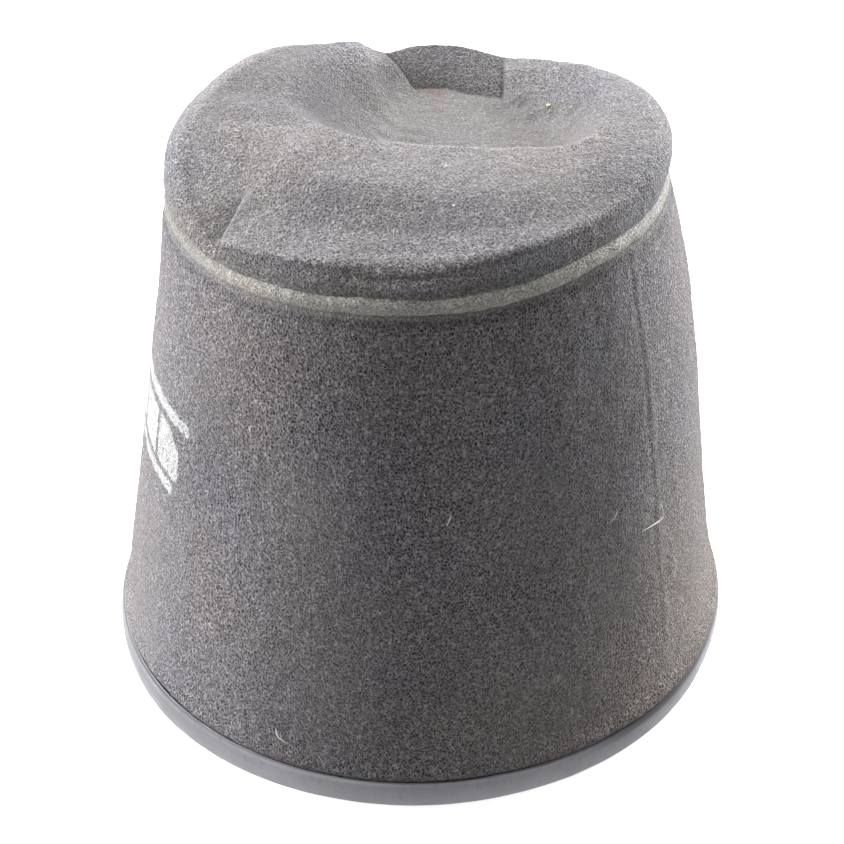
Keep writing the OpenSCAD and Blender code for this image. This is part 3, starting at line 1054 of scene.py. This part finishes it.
# Lint: each fibre's points, as azimuth, height and distance off the foam, and its radius
LINT = [
    ([(53.3, 63.0, 0.4), (53.4, 60.5, 0.9), (53.2, 58.4, 0.9), (50.2, 58.6, 0.7),
      (46.9, 58.9, 0.3)], 0.16),
    ([(5.0, 81.2, 0.2), (4.5, 80.0, 0.5), (4.1, 78.6, 0.2)], 0.19),
    ([(-27.8, 16.6, 0.3), (-27.3, 15.2, 0.7), (-26.6, 14.4, 0.7), (-25.2, 13.4, 0.4)], 0.19),
    ([(-26.9, 16.0, 0.2), (-26.7, 14.9, 0.5), (-26.4, 14.0, 0.2)], 0.11),
    ([(20, 47, 0.1), (20.6, 45, 0.3), (20.1, 43.4, 0.1)], 0.06),
    ([(-38, 96, 0.1), (-37, 94.6, 0.35), (-37.4, 93, 0.1)], 0.07),
    ([(34, 30, 0.1), (35, 31.2, 0.3), (36.5, 31.6, 0.1)], 0.06),
    ([(40.5, 69.0, 0.2), (39.6, 68.2, 0.5), (38.2, 67.1, 0.2)], 0.10),
    ([(57.0, 44, 0.2), (57.5, 41, 0.6), (56.8, 38, 0.4), (57.3, 35.5, 0.2)], 0.08),
    ([(24, 30, 0.2), (25.2, 31, 0.5), (24.6, 28.6, 0.2)], 0.08),
    ([(140, 70, 0.1), (142, 68, 0.5), (143, 65, 0.2)], 0.09),
    ([(-150, 90, 0.1), (-149, 88, 0.4), (-150.5, 86, 0.1)], 0.08),
]


def lint(material):
    parts = []
    for knots, radius in LINT:
        line = bent_line([on_side(az, z, lift) for az, z, lift in knots], 22)
        parts.append(tube(line, radius))
    return merged("lint_fibres", parts, material)


def pebble(centre, radius, seed, flat):
    """A small lumpy grain."""
    rows, cols = 7, 10
    q = np.linspace(0.12, math.pi - 0.12, rows)[:, None]
    a = np.linspace(0, 2 * math.pi, cols, endpoint=False)[None, :]
    d = np.stack([np.sin(q) * np.cos(a), np.sin(q) * np.sin(a), np.cos(q) + 0 * a], axis=2)
    r = radius * (1 + 0.3 * noise(d[..., 0] * 3, d[..., 1] * 3, d[..., 2] * 3 + seed, 1.7, seed))
    p = d * r[..., None] * [1, 1, flat] + centre
    points = p.reshape(-1, 3)
    faces = wrapped_grid(rows, cols, False)
    faces.append(tuple(range(cols)))
    faces.append(tuple(reversed(range((rows - 1) * cols, rows * cols))))
    return points, turned_right(points - centre, faces)


def on_top(u, v, lift):
    return np.array([u + LEAN_X, v, float(top_height(np.array([u]), np.array([v]))[0][0]) + lift])


# Grains on the top: place and radius
CRUMBS = [
    (32, 24.7, 0.6), (37, 18, 0.32), (-34.8, -27.1, 0.3), (3, -36.3, 0.28), (7, -38.7, 0.3),
    (-18, -41.5, 0.26),
]


def crumbs(material):
    parts = [pebble(on_top(u, v, r * 0.5), r, 90 + i, 0.7) for i, (u, v, r) in enumerate(CRUMBS)]
    return merged("crumbs", parts, material)


def weld_nuggets(material):
    """Small squeezed welds where the cage's wires cross."""
    uprights, parts = 18, []
    hoops = ["cage_foot_hoop", *(f"cage_hoop_{i}" for i in range(1, 8)), "cage_mouth_hoop"]
    for h, name in enumerate(hoops):
        low, high = node_box(name)
        wire_r = (high[2] - low[2]) / 2
        z = (high[2] + low[2]) / 2
        r = high[0] - wire_r + 0.9 * wire_r
        for k in range(uprights):
            a = math.radians((k + 0.5) * 360 / uprights)
            at = np.array([r * math.cos(a), r * math.sin(a), z])
            parts.append(pebble(at, 0.95, 200 + h * 20 + k, 0.9))
    return merged("weld_nuggets", parts, material)


# ---- Build ----

# The sheets were stretched as they were rolled and cut, so their cells are a little longer one way
coarse_foam = outer_foam_material("outer_foam_top", TOP_PORE, TOP_STRAND, (1.0, 1.45, 1.0))
printed_foam = outer_foam_material(
    "outer_foam_side", SIDE_PORE, SIDE_STRAND, (1.0, 1.0, 1.3), printed=True)
fine_foam = inner_foam_material()
soaked, glue = bead_material(), glue_material()
rubber, wire = rubber_material(), wire_material()

sleeve = outer_sleeve(printed_foam)
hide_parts("outer_foam_sleeve", "outer_sleeve_seam")
disc = top_disc(coarse_foam)
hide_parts("outer_foam_disc")
ring = rubber_ring(rubber)
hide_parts("base_ring")
bead = top_bead(soaked)
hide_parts("outer_top_bead")
lining = inner_sleeve(fine_foam)
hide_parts("inner_foam_sleeve", "inner_sleeve_seam")
backing = backing_disc(fine_foam)
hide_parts("inner_foam_disc")
extras = {
    "base_rubber": [ring, moulding_flash(flash_material())],
    "cage_wire": [weld_nuggets(weld_material())],
    "outer_foam": [sleeve, disc, lint(lint_material()), crumbs(crumb_material())],
    "inner_foam": [lining, backing],
    "adhesive": [bead],
}
for slot_name, members in extras.items():
    for piece in members:
        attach(piece, "root")

carried = {"foot_bond_bead": glue, "inner_top_bond": glue}
carried.update({name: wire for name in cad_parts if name.startswith("cage_")})
for name, material in carried.items():
    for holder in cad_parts[name].material_slots:
        holder.material = material

# ---- Studio ----


def floor():
    """A pale floor, just under the base and far wider than the view."""
    size, cols = 2600.0, 40
    xs = np.linspace(-size, size, cols)
    points = [(x, y, -0.02) for y in xs for x in xs]
    faces = [
        (j * cols + i, j * cols + i + 1, (j + 1) * cols + i + 1, (j + 1) * cols + i)
        for j in range(cols - 1)
        for i in range(cols - 1)
    ]
    obj = mesh_object("studio_floor", points, faces, floor_material())
    obj.visible_diffuse = False


def soft_light(name, place, aim, width, height, watts):
    data = bpy.data.lights.new(name, "AREA")
    data.shape = "RECTANGLE"
    data.size, data.size_y = width, height
    data.energy = watts
    obj = placed(name, data)
    obj.location = Vector(place)
    obj.rotation_euler = (Vector(aim) - obj.location).to_track_quat("-Z", "Y").to_euler()


def side_light(name, azimuth):
    """A tall soft light, slightly above the middle of the object."""
    a, rise, distance, middle_z = math.radians(azimuth), math.radians(5), 0.9, 0.07
    x, y = distance * math.sin(a) * math.cos(rise), -distance * math.cos(a) * math.cos(rise)
    place = (x, y, middle_z + distance * math.sin(rise))
    soft_light(name, place, (0, 0, middle_z), 0.6, 0.8, 28)


def camera():
    """The photo's view, from in front and above, aimed a little past the base's centre."""
    data = bpy.data.cameras.new("view")
    data.sensor_width, data.lens = 36.0, 97.19
    data.clip_start, data.clip_end = 0.01, 20.0
    rise, distance = math.radians(41.276), 0.62087
    place = Matrix.Translation((0, -distance * math.cos(rise), distance * math.sin(rise)))
    place = place @ Matrix.Rotation(math.pi / 2 - rise, 4, "X")
    for angle, axis in ((-0.1739, "Y"), (4.1844, "X"), (-1.6870, "Z")):
        place = place @ Matrix.Rotation(math.radians(angle), 4, axis)
    obj = placed("view", data)
    obj.matrix_world = place
    bpy.context.scene.camera = obj


floor()
camera()
soft_light("top_light", (0, 0.42, 1.1), (0, 0, 0.1), 0.9, 0.9, 17.7)
side_light("left_light", -107)
side_light("right_light", 128)

world = bpy.data.worlds.new("studio")
world.use_nodes = True
background = world.node_tree.nodes["Background"].inputs
background["Color"].default_value = (1, 1, 1, 1)
background["Strength"].default_value = 0.355
bpy.context.scene.world = world
bpy.context.scene.view_settings.view_transform = "Standard"
